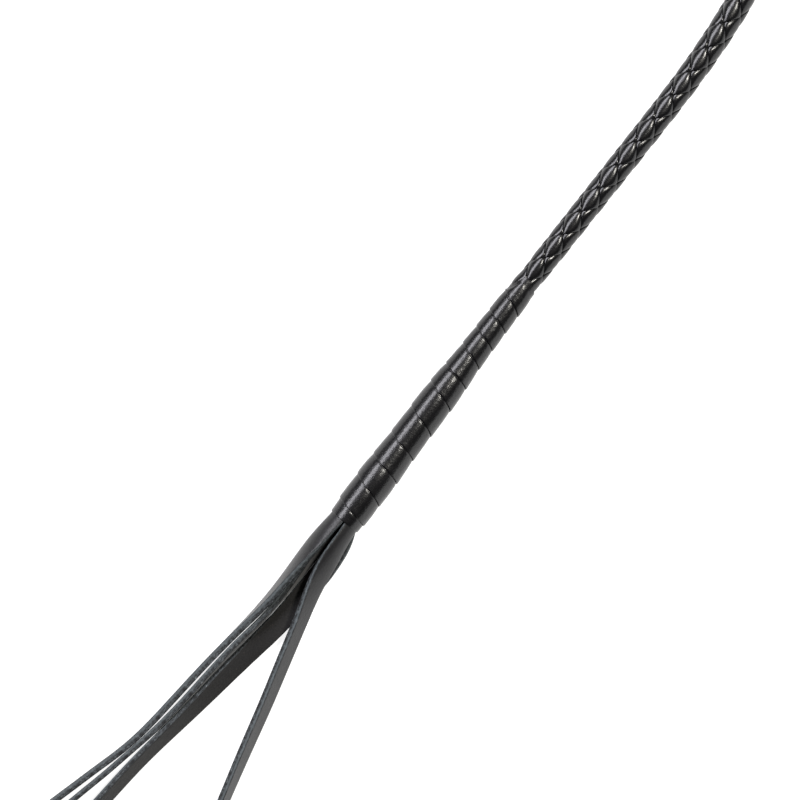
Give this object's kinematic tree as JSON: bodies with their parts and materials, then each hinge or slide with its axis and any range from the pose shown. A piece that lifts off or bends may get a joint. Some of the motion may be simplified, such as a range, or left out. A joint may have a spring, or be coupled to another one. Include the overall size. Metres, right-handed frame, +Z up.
{
  "type": "riding crop",
  "caption": "Plaited leather riding crop lying flat: cut strap tails bound on by a wound strip, springy plaited shaft, wrapped grip, butt cap and pivoting wrist loop.",
  "frame": {"origin": "centre of the bounding box on the surface the crop lies on, z = 0", "axes": "+X along the handle toward the butt and the wrist loop, tails at -X; +Y to the left of the handle seen from above; +Z up off the surface"},
  "size_m": [0.8574, 0.1358, 0.02],
  "materials": {
    "braid_leather": "black plaited lace, waxed, semi-gloss",
    "wrap_leather": "thin black leather strip, glossy, finely grained",
    "tail_leather": "thick black strap leather, smooth face, raw bluish-grey cut edge",
    "grip_leather": "black leather, semi-gloss",
    "loop_leather": "black strap leather, satin",
    "bolster_leather": "undyed split leather, matt",
    "thread": "waxed black thread",
    "rod_steel": "drawn spring rod",
    "cap_plastic": "black turned cap, satin",
    "rivet_brass": "polished brass"
  },
  "bodies": {
    "crop": {"core_rod": "rod_steel", "tip_bolster": "bolster_leather", "braid_strand_1": "braid_leather", "braid_strand_2": "braid_leather", "braid_strand_3": "braid_leather", "braid_strand_4": "braid_leather", "braid_strand_5": "braid_leather", "braid_strand_6": "braid_leather", "braid_seizing": "thread", "tail_1_root": "tail_leather", "tail_2_root": "tail_leather", "tail_3_root": "tail_leather", "tail_4_root": "tail_leather", "tail_lashing": "thread", "tail_wrap": "wrap_leather", "grip_core": "bolster_leather", "grip_wrap": "grip_leather", "grip_collar": "grip_leather", "butt_cap": "cap_plastic", "loop_rivet_left": "rivet_brass", "loop_rivet_right": "rivet_brass"},
    "tail_1_free": {"tail_1": "tail_leather"},
    "tail_2_free": {"tail_2": "tail_leather"},
    "tail_3_free": {"tail_3": "tail_leather"},
    "tail_4_free": {"tail_4": "tail_leather"},
    "loop": {"wrist_loop": "loop_leather"}
  },
  "joints": [
    {"name": "tail_1_bend", "type": "hinge", "parent": "crop", "child": "tail_1_free", "pos_m": [-0.21197, 0.00148, 0.01264], "axis": [0.1106, 0.6984, -0.7071], "range_deg": [0, 70]},
    {"name": "tail_2_bend", "type": "hinge", "parent": "crop", "child": "tail_2_free", "pos_m": [-0.21343, -0.00774, 0.01264], "axis": [0.1106, 0.6984, 0.7071], "range_deg": [0, 70]},
    {"name": "tail_3_bend", "type": "hinge", "parent": "crop", "child": "tail_3_free", "pos_m": [-0.21343, -0.00774, 0.0033], "axis": [-0.1106, -0.6984, 0.7071], "range_deg": [0, 70]},
    {"name": "tail_4_bend", "type": "hinge", "parent": "crop", "child": "tail_4_free", "pos_m": [-0.2127, -0.00313, 0.00137], "axis": [-0.1564, -0.9877, 0], "range_deg": [0, 70]},
    {"name": "loop_swing", "type": "hinge", "parent": "crop", "child": "loop", "pos_m": [0.28776, -0.04297, 0.01007], "axis": [0, -1, 0], "range_deg": [-70, 90]}
  ]
}
